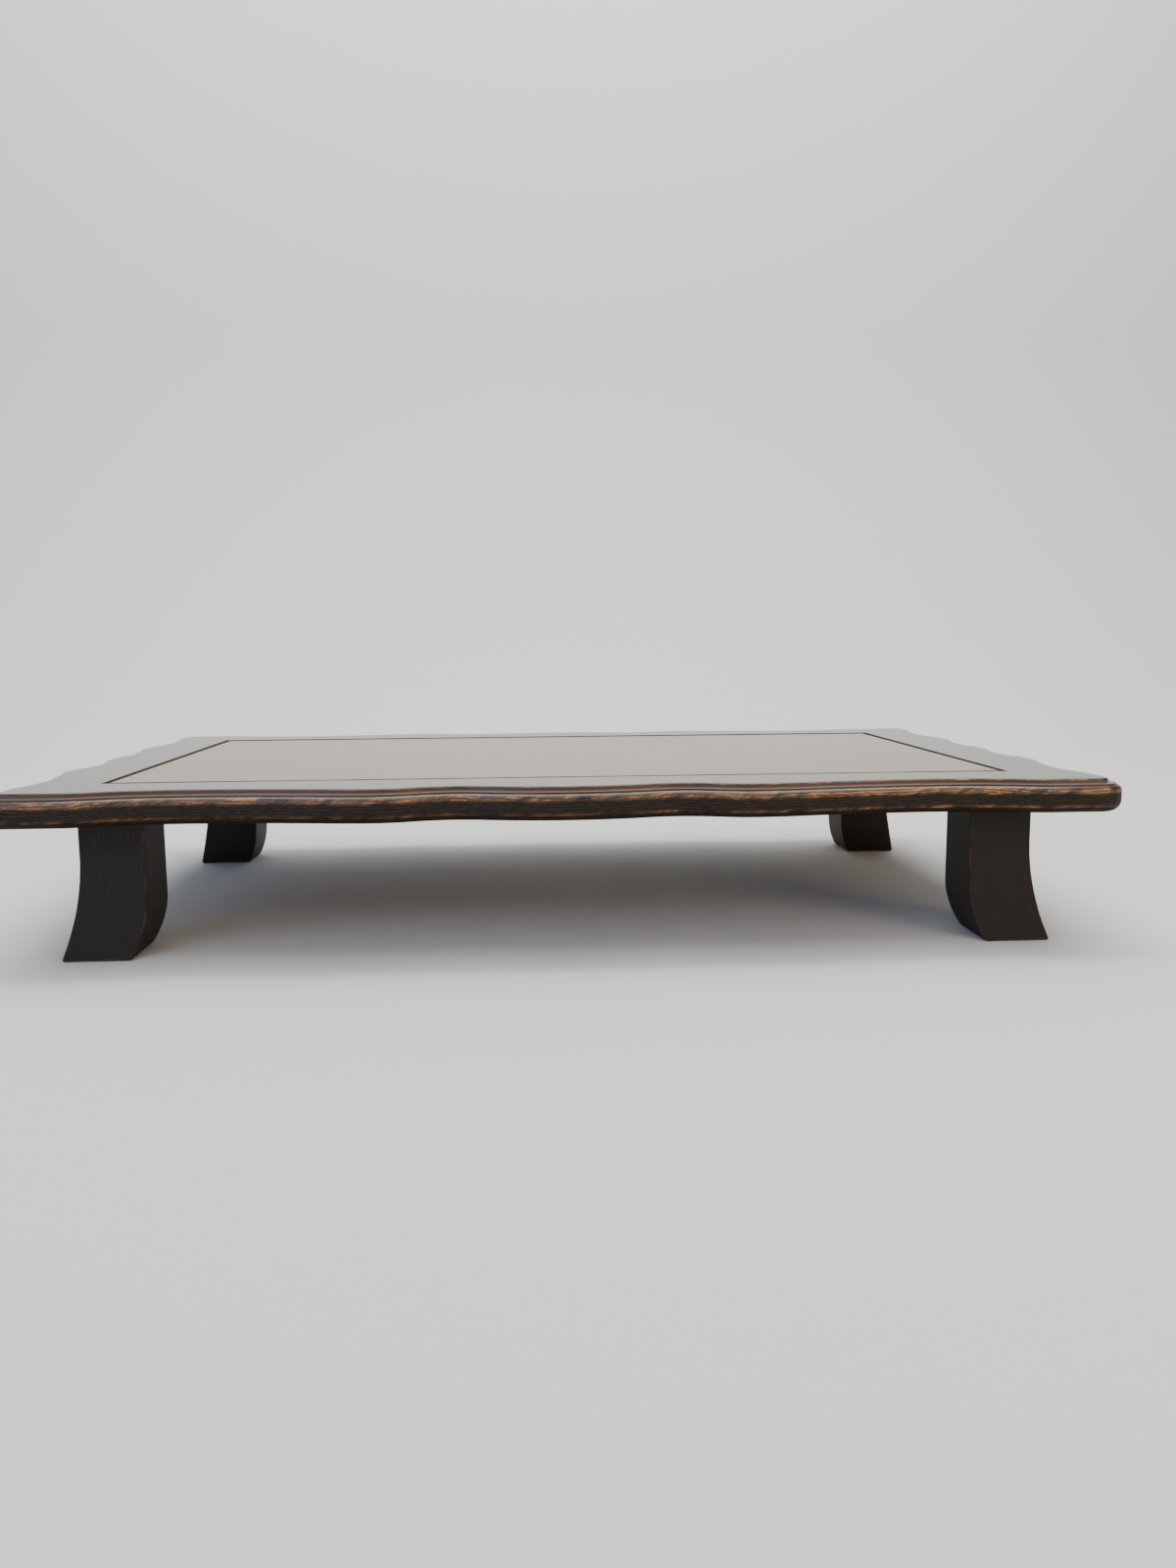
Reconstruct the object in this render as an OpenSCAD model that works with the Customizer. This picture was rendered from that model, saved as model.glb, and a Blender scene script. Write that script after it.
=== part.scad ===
// Low display table: a flush panel in a mitred frame with a scalloped, moulded edge,
// on four square legs whose feet flare outwards both ways. Millimetres.
// The origin is on the floor, under the middle of the top. +X runs along the length.

/* [Table] */
// Length of the top over the crests of its edge
top_w = 606; // [540:2:760]
// Depth of the top over the crests of its edge
top_d = 364; // [344:2:480]
// Height of the top surface above the floor
table_h = 94; // [88:1:150]
// Thickness of the frame
top_t = 18; // [17:0.5:22]

/* [Frame and panel] */
// Face width of a long rail, from the crests to the panel joint
long_rail_w = 48; // [42:1:54]
// Face width of a short rail, from the crests to the panel joint
short_rail_w = 51.5; // [46:0.5:58]
// Thickness of the panel
panel_t = 8; // [7:0.5:9]
// Chamfer on each side of the panel joint
joint_chamfer = 2; // [1:0.25:2.5]
// How far the shelf under the panel reaches inwards past the legs
shelf_past_leg = 3; // [1:0.5:8]

/* [Moulded edge] */
// How far the nose stands out from the lip of the flat top
lip_in = 7; // [6:0.25:8]
// Rounding along the lip
lip_round = 1.1; // [0.5:0.1:1.5]
// Height of the lip above the ledge
lip_h = 2; // [1.6:0.1:2.6]
// Slope of the ledge over its width
ledge_fall = 0.5; // [0.2:0.1:0.8]
// Height of the small step from the ledge down to the nose
step_h = 0.9; // [0.5:0.1:1.2]
// Radius of the nose's upper edge
nose_r = 2.8; // [2:0.1:4]
// Radius of the nose's lower edge
under_r = 6.5; // [4:0.25:7]
// Radius of the plan corners
corner_r = 13; // [11:0.5:18]

/* [Scallops of the long sides] */
// Radius of the middle lobe
long_lobe_r = 180; // [120:5:200]
// Middle of the side to the first hollow
long_dip1_u = 59; // [54:1:64]
// Depth of the first hollow
long_dip1_deep = 7.5; // [5:0.5:9]
// Middle of the side to the crest
long_crest_u = 101; // [96:1:108]
// Radius of the crest on its inner side
long_crest_in_r = 60; // [40:1:70]
// Radius of the crest on its outer side
long_crest_out_r = 150; // [60:5:200]
// End of the table to the long outer hollow
long_dip2_in = 99; // [92:1:106]
// Depth of the long outer hollow
long_dip2_deep = 8.7; // [6:0.1:9]
// End of the table to the shoulder where the scallops stop
long_shoulder_in = 40; // [34:1:46]
// Radius of that shoulder
long_shoulder_r = 60; // [40:1:90]

/* [Scallops of the short sides] */
// Radius of the middle lobe
short_lobe_r = 75; // [50:1:90]
// How far the middle lobe stays behind the crests
short_lobe_back = 1.8; // [1:0.1:2.5]
// Middle of the side to the first hollow
short_dip1_u = 35; // [32:1:38]
// Depth of the first hollow
short_dip1_deep = 6.6; // [5:0.1:8]
// Middle of the side to the crest
short_crest_u = 71; // [68:1:74]
// Radius of the crest on its inner side
short_crest_in_r = 50; // [34:1:60]
// Radius of the crest on its outer side
short_crest_out_r = 70; // [40:1:80]
// End of the side to the outer hollow
short_dip2_in = 64; // [60:1:66]
// Depth of the outer hollow
short_dip2_deep = 7.2; // [5.5:0.1:8.5]
// End of the side to the shoulder where the scallops stop
short_shoulder_in = 24; // [20:1:27]
// How far that shoulder and the corner stay behind the crests
short_shoulder_back = 1.7; // [0.5:0.1:2.5]
// Radius of that shoulder
short_shoulder_r = 60; // [35:1:80]

/* [Legs] */
// Width of a leg along the table
leg_w = 35; // [30:0.5:42]
// Width of a leg across the table
leg_d = 36; // [30:0.5:42]
// Crests of the end edge to the outer face of a leg
leg_in_x = 40; // [34:1:50]
// Crests of the long edge to the outer face of a leg
leg_in_y = 35; // [30:1:44]
// Height at which the outer faces start to flare
flare_h = 56; // [40:1:64]
// How far the foot flares outwards
foot_flare = 9.4; // [5:0.2:14]
// Height of the curve at the foot's inner faces
heel_h = 28; // [18:1:40]
// How far that curve undercuts the inner faces
heel_in = 7.7; // [4:0.1:10]

/* [Joints inside] */
// Side of the square tenon on top of a leg
tenon_w = 22; // [16:0.5:26]
// Length of that tenon
tenon_l = 7; // [5:0.25:7.5]
// Thickness of the loose key in a mitre
key_t = 3; // [2:0.25:4]
// Width of the key, across the mitre
key_w = 16; // [10:1:20]
// Length of the key, along the mitre
key_l = 34; // [24:1:38]
// Panel corner to the near end of the key
key_from_panel = 12; // [11:0.5:16]
// Middle of the table to the middle of a batten
batten_u = 125; // [80:5:170]
// Width of a batten
batten_w = 26; // [20:1:40]
// Clear height between a batten and the frame's underside
batten_up = 2; // [1:0.25:3]
// Width of the batten's dovetail at its neck
dovetail_neck = 12; // [8:0.5:16]
// How much wider the dovetail is at its top, on each side
dovetail_flare = 2; // [1:0.25:3]
// Depth of the dovetail in the panel
dovetail_h = 2.5; // [1.5:0.25:3]
// Width of the tenon at each end of a batten
batten_tenon_w = 14; // [10:0.5:18]
// Thickness of that tenon
batten_tenon_t = 4; // [3:0.25:4.5]
// Length of that tenon
batten_tenon_l = 9; // [6:0.5:12]
// Clearance between a tenon, key or dovetail and its seat
seat_gap = 0.1; // [0.05:0.01:0.2]
// Clearance between the panel's edge and the rails
panel_gap = 0.15; // [0.1:0.01:0.3]

/* [Hidden] */
$fn = 120;
// Small overshoot of a cut past the face that it opens
CUT = 1;
// How deep a tenon or dovetail is rooted in the piece that carries it
ROOT = 1;

FRAME_WOOD = [0.23, 0.16, 0.12];
PANEL_WOOD = [0.36, 0.27, 0.22];
LEG_WOOD = [0.16, 0.12, 0.10];
HIDDEN_WOOD = [0.30, 0.21, 0.15];

// Levels
frame_z = table_h - top_t;
shelf_z = table_h - panel_t;

// Half lengths of the panel joint, of the opening inside the shelf, and of the corner
joint_x = top_w / 2 - short_rail_w;
joint_y = top_d / 2 - long_rail_w;
leg_x = top_w / 2 - leg_in_x - leg_w;
leg_y = top_d / 2 - leg_in_y - leg_d;
shelf_x = leg_x - shelf_past_leg;
shelf_y = leg_y - shelf_past_leg;
corner_x = top_w / 2 - short_shoulder_back;
corner_y = top_d / 2;

// Largest distance between an arc of the moulded edge and its chords
CHORD_GAP = 0.08;
// Steps round a corner and round the roundings of the edge's section
CORNER_STEPS = 6;
UNDER_STEPS = 3;
NOSE_STEPS = 3;
LIP_STEPS = 2;

// Section of the moulded edge from the underside up, as [distance behind the nose, height]
function edge_section() =
    let (ledge_z = top_t - lip_h, nose_z = ledge_z - ledge_fall - step_h)
    concat(
        [for (i = [0 : UNDER_STEPS]) let (a = 90 * i / UNDER_STEPS)
            [under_r * (1 - sin(a)), under_r * (1 - cos(a))]],
        [for (i = [0 : NOSE_STEPS]) let (a = 90 * i / NOSE_STEPS)
            [nose_r * (1 - cos(a)), nose_z - nose_r * (1 - sin(a))]],
        [[nose_r, ledge_z - ledge_fall], [lip_in, ledge_z]],
        [for (i = [0 : LIP_STEPS]) let (a = 90 * i / LIP_STEPS)
            [lip_in + lip_round * (1 - cos(a)), top_t - lip_round * (1 - sin(a))]]
    );

// The outline of the nose is a list of [along the side, outwards, direction that the edge
// faces]. A crest bends about a centre inside the frame, and a hollow about one outside.
function bend(centre, r, from, to, faces = 0) =
    let (steps = ceil(abs(to - from) / (2 * acos(1 - CHORD_GAP / r))))
    [for (i = [0 : steps]) let (a = from + (to - from) * i / steps)
        [centre[0] + r * cos(a), centre[1] + r * sin(a), a + faces]];

// Half a wave of the edge: a crest's arc and a hollow's arc, tangent to each other. The
// crest and the hollow are given as [along the side, outwards].
function half_wave(crest, hollow, crest_r) =
    let (run = abs(hollow[0] - crest[0]),
         fall = crest[1] - hollow[1],
         turn = 2 * atan(fall / run),
         hollow_r = run / sin(turn) - crest_r,
         crest_c = [crest[0], crest[1] - crest_r],
         hollow_c = [hollow[0], hollow[1] + hollow_r])
    hollow[0] > crest[0]
        ? concat(bend(crest_c, crest_r, 90, 90 - turn),
                 but_first(bend(hollow_c, hollow_r, 270 - turn, 270, -180)))
        : concat(bend(hollow_c, hollow_r, 270, 270 + turn, -180),
                 but_first(bend(crest_c, crest_r, 90 + turn, 90)));
function but_first(list) = [for (i = [1 : len(list) - 1]) list[i]];

// Outlines of the right half of a side, from its middle to the start of the corner. Both
// sides lie at +y here, with their crests on y = edge.
function long_outline() =
    let (edge = top_d / 2,
         lobe = [0, edge],
         dip1 = [long_dip1_u, edge - long_dip1_deep],
         crest = [long_crest_u, edge],
         dip2 = [top_w / 2 - long_dip2_in, edge - long_dip2_deep],
         shoulder = [top_w / 2 - long_shoulder_in, edge])
    concat(
        half_wave(lobe, dip1, long_lobe_r),
        but_first(half_wave(crest, dip1, long_crest_in_r)),
        but_first(half_wave(crest, dip2, long_crest_out_r)),
        but_first(half_wave(shoulder, dip2, long_shoulder_r)));
function short_outline() =
    let (edge = top_w / 2,
         lobe = [0, edge - short_lobe_back],
         dip1 = [short_dip1_u, edge - short_dip1_deep],
         crest = [short_crest_u, edge],
         dip2 = [top_d / 2 - short_dip2_in, edge - short_dip2_deep],
         shoulder = [top_d / 2 - short_shoulder_in, edge - short_shoulder_back])
    concat(
        half_wave(lobe, dip1, short_lobe_r),
        but_first(half_wave(crest, dip1, short_crest_in_r)),
        but_first(half_wave(crest, dip2, short_crest_out_r)),
        but_first(half_wave(shoulder, dip2, short_shoulder_r)));

// Point on a rail's right-hand mitre, which runs from the corner of the panel joint to the
// outer corner of the frame, a given distance outwards from the joint
function on_mitre(joint, corner, d) = joint + d * (corner - joint) / norm(corner - joint);

// Rounded corner of the board at some distance behind the nose, as far as the mitre
function corner_arc(joint, corner, back) =
    let (centre = corner - [corner_r, corner_r],
         r = corner_r - back,
         along = (centre - joint) * (corner - joint) / norm(corner - joint),
         beside = norm(on_mitre(joint, corner, along) - centre),
         end = on_mitre(joint, corner, along + sqrt(r * r - beside * beside)) - centre,
         turn = 90 - atan2(end[1], end[0]))
    [for (i = [0 : CORNER_STEPS]) let (a = 90 - turn * i / CORNER_STEPS)
        centre + r * [cos(a), sin(a)]];

// Edge of the board at some distance behind the nose, from mitre to mitre
function edge_line(outline, joint, corner, back) =
    let (half = concat([for (p = outline) [p[0] - back * cos(p[2]), p[1] - back * sin(p[2])]],
                       corner_arc(joint, corner, back)))
    concat([for (i = [len(half) - 1 : -1 : 1]) [-half[i][0], half[i][1]]], half);

// Mitred board with the moulded edge on its far side and a straight inner side
module mitred_board(outline, joint, corner, inner_y) {
    section = edge_section();
    lines = [for (level = section) edge_line(outline, joint, corner, level[0])];
    inner_x = joint[0] + (inner_y - joint[1]) * (corner[0] - joint[0]) / (corner[1] - joint[1]);
    n = len(lines[0]);
    last = len(section) - 1;
    inner = len(section) * n;
    points = concat(
        [for (j = [0 : last]) each [for (p = lines[j]) [p[0], p[1], section[j][1]]]],
        [for (z = [0, top_t], side = [1, -1]) [side * inner_x, inner_y, z]]);
    edge_faces = [for (j = [0 : last - 1], i = [0 : n - 2])
        let (a = j * n + i)
        each [[a, a + 1, a + 1 + n], [a, a + 1 + n, a + n]]];
    under_face = concat([inner + 1, inner], [for (i = [n - 1 : -1 : 0]) i]);
    top_face = concat([for (i = [0 : n - 1]) last * n + i], [inner + 2, inner + 3]);
    inner_face = [inner, inner + 1, inner + 3, inner + 2];
    right_mitre = concat([n - 1, inner, inner + 2], [for (j = [last : -1 : 1]) j * n + n - 1]);
    left_mitre = concat([inner + 1], [for (j = [0 : last]) j * n], [inner + 3]);
    polyhedron(points, concat(edge_faces,
        [under_face, top_face, inner_face, right_mitre, left_mitre]));
}

// All that is cut out of the frame: the rebate for the panel, with its chamfers, and the
// seats of the keys, legs and battens
module frame_cuts() {
    intersection() {
        translate([0, top_d / 2, 0]) rotate([90, 0, 0])
            linear_extrude(top_d) rebate_section(joint_x);
        translate([-top_w / 2, 0, 0]) rotate([90, 0, 90])
            linear_extrude(top_w) rebate_section(joint_y);
    }
    for (x = [0, 1], y = [0, 1]) mirror([x, 0, 0]) mirror([0, y, 0]) {
        mitre_key(seat_gap);
        translate([leg_x + leg_w / 2, leg_y + leg_d / 2, 0])
            leg_tenon(tenon_w + 2 * seat_gap, tenon_l + seat_gap);
    }
    for (side = [-1, 1]) translate([side * batten_u, 0, 0]) batten_tenons(seat_gap);
}

// Section of the rebate and of the chamfers at the top of its walls
module rebate_section(half) {
    polygon([[-half, top_t - panel_t], [half, top_t - panel_t], [half, top_t - joint_chamfer],
             [half + joint_chamfer + CUT, top_t + CUT], [-half - joint_chamfer - CUT, top_t + CUT],
             [-half, top_t - joint_chamfer]]);
}

module long_rail() {
    difference() {
        mitred_board(long_outline(), [joint_x, joint_y], [corner_x, corner_y], shelf_y);
        frame_cuts();
    }
}
module short_rail() {
    difference() {
        rotate(-90) mitred_board(short_outline(), [joint_y, joint_x], [corner_y, corner_x],
                                 shelf_x);
        frame_cuts();
    }
}
module back_rail() {
    color(FRAME_WOOD) translate([0, 0, frame_z]) long_rail();
}
module front_rail() {
    color(FRAME_WOOD) translate([0, 0, frame_z]) rotate(180) long_rail();
}
module right_rail() {
    color(FRAME_WOOD) translate([0, 0, frame_z]) short_rail();
}
module left_rail() {
    color(FRAME_WOOD) translate([0, 0, frame_z]) rotate(180) short_rail();
}

// Loose key across the mitre at +x +y, in frame levels. gap makes it the slot.
module mitre_key(gap = 0) {
    joint = [joint_x, joint_y];
    corner = [corner_x, corner_y];
    start = on_mitre(joint, corner, key_from_panel);
    along = corner - joint;
    translate([start[0], start[1], top_t / 2]) rotate(atan2(along[1], along[0]))
        translate([-gap, -key_w / 2 - gap, -key_t / 2 - gap])
            cube([key_l + 2 * gap, key_w + 2 * gap, key_t + 2 * gap]);
}
module corner_key(x, y) {
    color(HIDDEN_WOOD) translate([0, 0, frame_z])
        mirror([x < 0 ? 1 : 0, 0, 0]) mirror([0, y < 0 ? 1 : 0, 0]) mitre_key();
}

// Panel, chamfered round its top and grooved across its underside for the battens
module panel() {
    half_x = joint_x - panel_gap;
    half_y = joint_y - panel_gap;
    color(PANEL_WOOD) difference() {
        intersection() {
            translate([0, half_y, 0]) rotate([90, 0, 0])
                linear_extrude(2 * half_y) panel_section(half_x);
            translate([-half_x, 0, 0]) rotate([90, 0, 90])
                linear_extrude(2 * half_x) panel_section(half_y);
        }
        for (side = [-1, 1]) translate([side * batten_u, 0, shelf_z]) {
            dovetail(2 * half_y + 2 * CUT, seat_gap);
            dovetail_root(2 * half_y + 2 * CUT, seat_gap);
        }
    }
}
module panel_section(half) {
    polygon([[-half, shelf_z], [half, shelf_z], [half, table_h - joint_chamfer],
             [half - joint_chamfer, table_h], [joint_chamfer - half, table_h],
             [-half, table_h - joint_chamfer]]);
}

// Dovetail along y on the plane z = 0. gap widens it all round for the groove.
module dovetail(length, gap = 0) {
    neck = dovetail_neck / 2 + gap;
    head = neck + dovetail_flare;
    translate([0, length / 2, 0]) rotate([90, 0, 0]) linear_extrude(length)
        polygon([[-neck, 0], [neck, 0], [head, dovetail_h + gap], [-head, dovetail_h + gap]]);
}

// Block that roots the dovetail in what carries it, and opens the groove downwards
module dovetail_root(length, gap = 0) {
    width = dovetail_neck + 2 * gap;
    translate([-width / 2, -length / 2, -ROOT]) cube([width, length, ROOT + dovetail_h / 2]);
}

// Tenons at both ends of a batten, in frame levels
module batten_tenons(gap = 0) {
    mid_z = (batten_up + top_t - panel_t) / 2;
    half_l = shelf_y + batten_tenon_l + gap;
    translate([-batten_tenon_w / 2 - gap, -half_l, mid_z - batten_tenon_t / 2 - gap])
        cube([batten_tenon_w + 2 * gap, 2 * half_l, batten_tenon_t + 2 * gap]);
}

// Cross batten: body between the rails, dovetail up into the panel, tenons into the rails
module batten(u) {
    body_l = 2 * (shelf_y - seat_gap);
    color(HIDDEN_WOOD) translate([u, 0, 0]) {
        translate([-batten_w / 2, -body_l / 2, frame_z + batten_up])
            cube([batten_w, body_l, shelf_z - frame_z - batten_up]);
        translate([0, 0, shelf_z]) dovetail(2 * (joint_y - panel_gap));
        translate([0, 0, shelf_z]) dovetail_root(body_l);
        translate([0, 0, frame_z]) batten_tenons();
    }
}

// Curves of a foot: arcs that start upright and end at the floor
FOOT_FN = 360;
flare_r = (flare_h * flare_h + foot_flare * foot_flare) / (2 * foot_flare);
heel_r = (heel_h * heel_h + heel_in * heel_in) / (2 * heel_in);

// Side view of a leg: upright inner face at x = 0, and a foot that flares to +x
module leg_side(width) {
    difference() {
        square([width + foot_flare, frame_z]);
        translate([width, flare_h]) square([foot_flare + CUT, frame_z]);
        translate([width + flare_r, flare_h]) circle(flare_r, $fn = FOOT_FN);
        difference() {
            translate([-CUT, -CUT]) square([heel_in + 2 * CUT, heel_h + CUT]);
            translate([heel_r, heel_h]) circle(heel_r, $fn = FOOT_FN);
        }
    }
}

// Square tenon about its own middle, up from the plane z = 0 and rooted below it
module leg_tenon(width, length) {
    translate([-width / 2, -width / 2, -ROOT]) cube([width, width, length + ROOT]);
}

// Leg of the +x +y corner: what its two side views have in common, with its tenon
module leg(x, y) {
    color(LEG_WOOD) mirror([x < 0 ? 1 : 0, 0, 0]) mirror([0, y < 0 ? 1 : 0, 0])
        translate([leg_x, leg_y, 0]) {
            intersection() {
                translate([0, leg_d + foot_flare, 0]) rotate([90, 0, 0])
                    linear_extrude(leg_d + foot_flare) leg_side(leg_w);
                rotate([90, 0, 90]) linear_extrude(leg_w + foot_flare) leg_side(leg_d);
            }
            translate([leg_w / 2, leg_d / 2, frame_z]) leg_tenon(tenon_w, tenon_l);
        }
}

panel();
front_rail();
back_rail();
left_rail();
right_rail();
leg(-1, -1);  // front_left_leg
leg(1, -1);  // front_right_leg
leg(-1, 1);  // back_left_leg
leg(1, 1);  // back_right_leg
corner_key(-1, -1);  // front_left_key
corner_key(1, -1);  // front_right_key
corner_key(-1, 1);  // back_left_key
corner_key(1, 1);  // back_right_key
batten(-batten_u);  // left_batten
batten(batten_u);  // right_batten
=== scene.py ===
# %% [markdown]
# # A low display table in wiped lacquer
# A table like this stands in an alcove and carries one vase or one stone. It is a flat
# panel in a mitred frame. The frame's edge waves in and out, and a moulding follows the
# waves. Four short legs flare at their feet.
#
# The solids come from the CAD model, in metres, with the origin on the floor under the
# middle of the top. The pieces made here stand exactly where those solids stand, and add
# what a solid lacks: soft arrises, grain, lacquer and its wear.

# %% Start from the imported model
import math
import bmesh
import bpy
import numpy as np
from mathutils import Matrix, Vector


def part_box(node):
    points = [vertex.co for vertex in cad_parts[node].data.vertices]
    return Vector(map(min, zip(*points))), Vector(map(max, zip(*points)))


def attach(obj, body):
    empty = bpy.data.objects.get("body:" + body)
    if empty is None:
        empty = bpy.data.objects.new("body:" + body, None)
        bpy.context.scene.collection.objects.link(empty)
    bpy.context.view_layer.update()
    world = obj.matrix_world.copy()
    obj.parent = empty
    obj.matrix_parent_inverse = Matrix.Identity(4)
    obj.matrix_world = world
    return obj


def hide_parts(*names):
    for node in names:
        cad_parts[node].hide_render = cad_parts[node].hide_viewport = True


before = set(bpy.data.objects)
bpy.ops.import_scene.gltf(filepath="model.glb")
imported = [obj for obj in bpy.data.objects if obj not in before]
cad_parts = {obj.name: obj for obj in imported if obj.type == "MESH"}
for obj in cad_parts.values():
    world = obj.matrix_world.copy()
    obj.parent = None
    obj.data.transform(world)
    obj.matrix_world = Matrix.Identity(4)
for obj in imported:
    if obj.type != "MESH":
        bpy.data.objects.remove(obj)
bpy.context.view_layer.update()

# %% [markdown]
# ## Sizes
# A joiner's drawing gives every size once, in millimetres. The same is done here, with the
# values of the CAD model, so that each piece lies on the solid it stands for. The boxes of
# the CAD nodes then test the main ones.

# %% Sizes in millimetres
MM = 0.001
TOP_W, TOP_D, TABLE_H, TOP_T = 606.0, 364.0, 94.0, 18.0
FRAME_Z = TABLE_H - TOP_T
LONG_RAIL_W, SHORT_RAIL_W = 48.0, 51.5
JOINT_X = TOP_W / 2 - SHORT_RAIL_W
JOINT_Y = TOP_D / 2 - LONG_RAIL_W
JOINT_CHAMFER, PANEL_GAP, PANEL_T = 2.0, 0.15, 8.0
CORNER_R, END_BACK = 13.0, 1.7
CORNER_X = TOP_W / 2 - END_BACK
CORNER_Y = TOP_D / 2
LEG_W, LEG_D, LEG_IN_X, LEG_IN_Y = 35.0, 36.0, 40.0, 35.0
LEG_X = TOP_W / 2 - LEG_IN_X - LEG_W
LEG_Y = TOP_D / 2 - LEG_IN_Y - LEG_D
SHELF_PAST_LEG = 3.0
SHELF_X, SHELF_Y = LEG_X - SHELF_PAST_LEG, LEG_Y - SHELF_PAST_LEG
SHELF_Z = TABLE_H - PANEL_T

panel_low, panel_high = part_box("panel")
print("panel, mm:", [round(1000 * (b - a), 2) for a, b in zip(panel_low, panel_high)],
      "drawn:", 2 * (JOINT_X - PANEL_GAP), 2 * (JOINT_Y - PANEL_GAP), PANEL_T)

# %% [markdown]
# ## Colours and nodes
# A colour picked on a screen is an sRGB value, but the renderer mixes light in linear
# values, so one function turns the first into the second. A second small function adds
# a node, sets it and links it. Both the materials and the geometry trees are built with it.

# %% Two helpers


def linear(hex_colour):
    """Linear RGBA of an sRGB colour such as '#8a5a34'."""
    rgb = [int(hex_colour[i:i + 2], 16) / 255 for i in (1, 3, 5)]
    return [c / 12.92 if c <= 0.04045 else ((c + 0.055) / 1.055) ** 2.4
            for c in rgb] + [1.0]


def add(tree, kind, settings=None, inputs=None):
    """Adds a node. An input is a socket to link from, or a plain value."""
    node = tree.nodes.new(kind)
    for key, value in (settings or {}).items():
        setattr(node, key, value)
    for key, value in (inputs or {}).items():
        if isinstance(value, bpy.types.NodeSocket):
            tree.links.new(value, node.inputs[key])
        else:
            node.inputs[key].default_value = value
    return node


print("white is", linear("#ffffff")[:3])

# %% [markdown]
# ## Wiped lacquer on zelkova
# The wood is a ring-porous one, such as zelkova. Raw lacquer is wiped into it many times,
# until it is nearly black and has a satin sheen. The grain still shows through, mostly
# where the board is cut across: on the moulded edge. There the lacquer is also thin, and
# hands have worn it back to an orange brown.
#
# Wood is a solid pattern. Growth rings are tubes round a pith that lies far below the
# board, so the distance from the pith decides the colour. A moulding that cuts through
# the tubes then shows arched figures by itself, as a real one does.
#
# Each piece carries attributes that the material reads. The first, grain, is a place in
# the board in metres, with x along its fibres. The others are plain numbers: wear is high
# where hands and cloths rub, polish runs from -1 on dull lacquer to 1 on the rubbed flats,
# and the pool mask is 1 on the lip's wall, the ledge and the bottom of the groove, which
# get a reddish brown. It stands for lacquer that has run together and dried thick. On the
# lip's wall and the ledge it is also a painted lightening for the reflections they catch.

# %% Sizes of the patterns
# In metres, along the fibres, across the board and through it
WANDER_CELL, WANDER_REACH = (0.060, 0.035, 0.035), (0.0, 0.011, 0.007)
# Pores are 0.2 mm wide and 5 mm long. They are drawn 0.6 mm by 10 mm, so that they show.
PORE_CELL, PORE_DEPTH = (0.010, 0.0006, 0.0006), 0.00003
# Patches of wear lean. The gain and the offset stretch their noise until it has gaps.
PATCH_CELL, PATCH_LEAN = (0.020, 0.010, 0.0045), math.radians(24)
PATCH_GAIN, PATCH_OFFSET = 5.4, -1.8
SPECK_APART = 0.040
print("patches of wear, mm:", [round(c / MM, 1) for c in PATCH_CELL])

# %% Material of the wood
# Each pair says where a change of colour starts and where it is complete.
TONE_FROM, TONE_TO = 0.52, 1.02
THIN_FROM, THIN_TO = 0.35, 0.95
BARE_FROM, BARE_TO = 0.90, 1.35
# The most of the reddish pool colour is pooled lacquer, and on the lip's wall and the ledge it
# is also a painted reflection.
FIGURE_IN_WEAR, POOL_SHEEN_MOST, SPECK_COLOUR = 0.30, 0.8, "#0d0806"
# How far dull, polished and bare wood differ in roughness from lacquer as it dried
DULLER, GLOSSIER, BARE_ROUGHER = 0.26, 0.13, 0.10
DULL_SPECULAR, FULL_SPECULAR = 0.05, 0.5
COAT_MOST, COAT_ROUGHNESS = 0.26, 0.14


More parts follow.
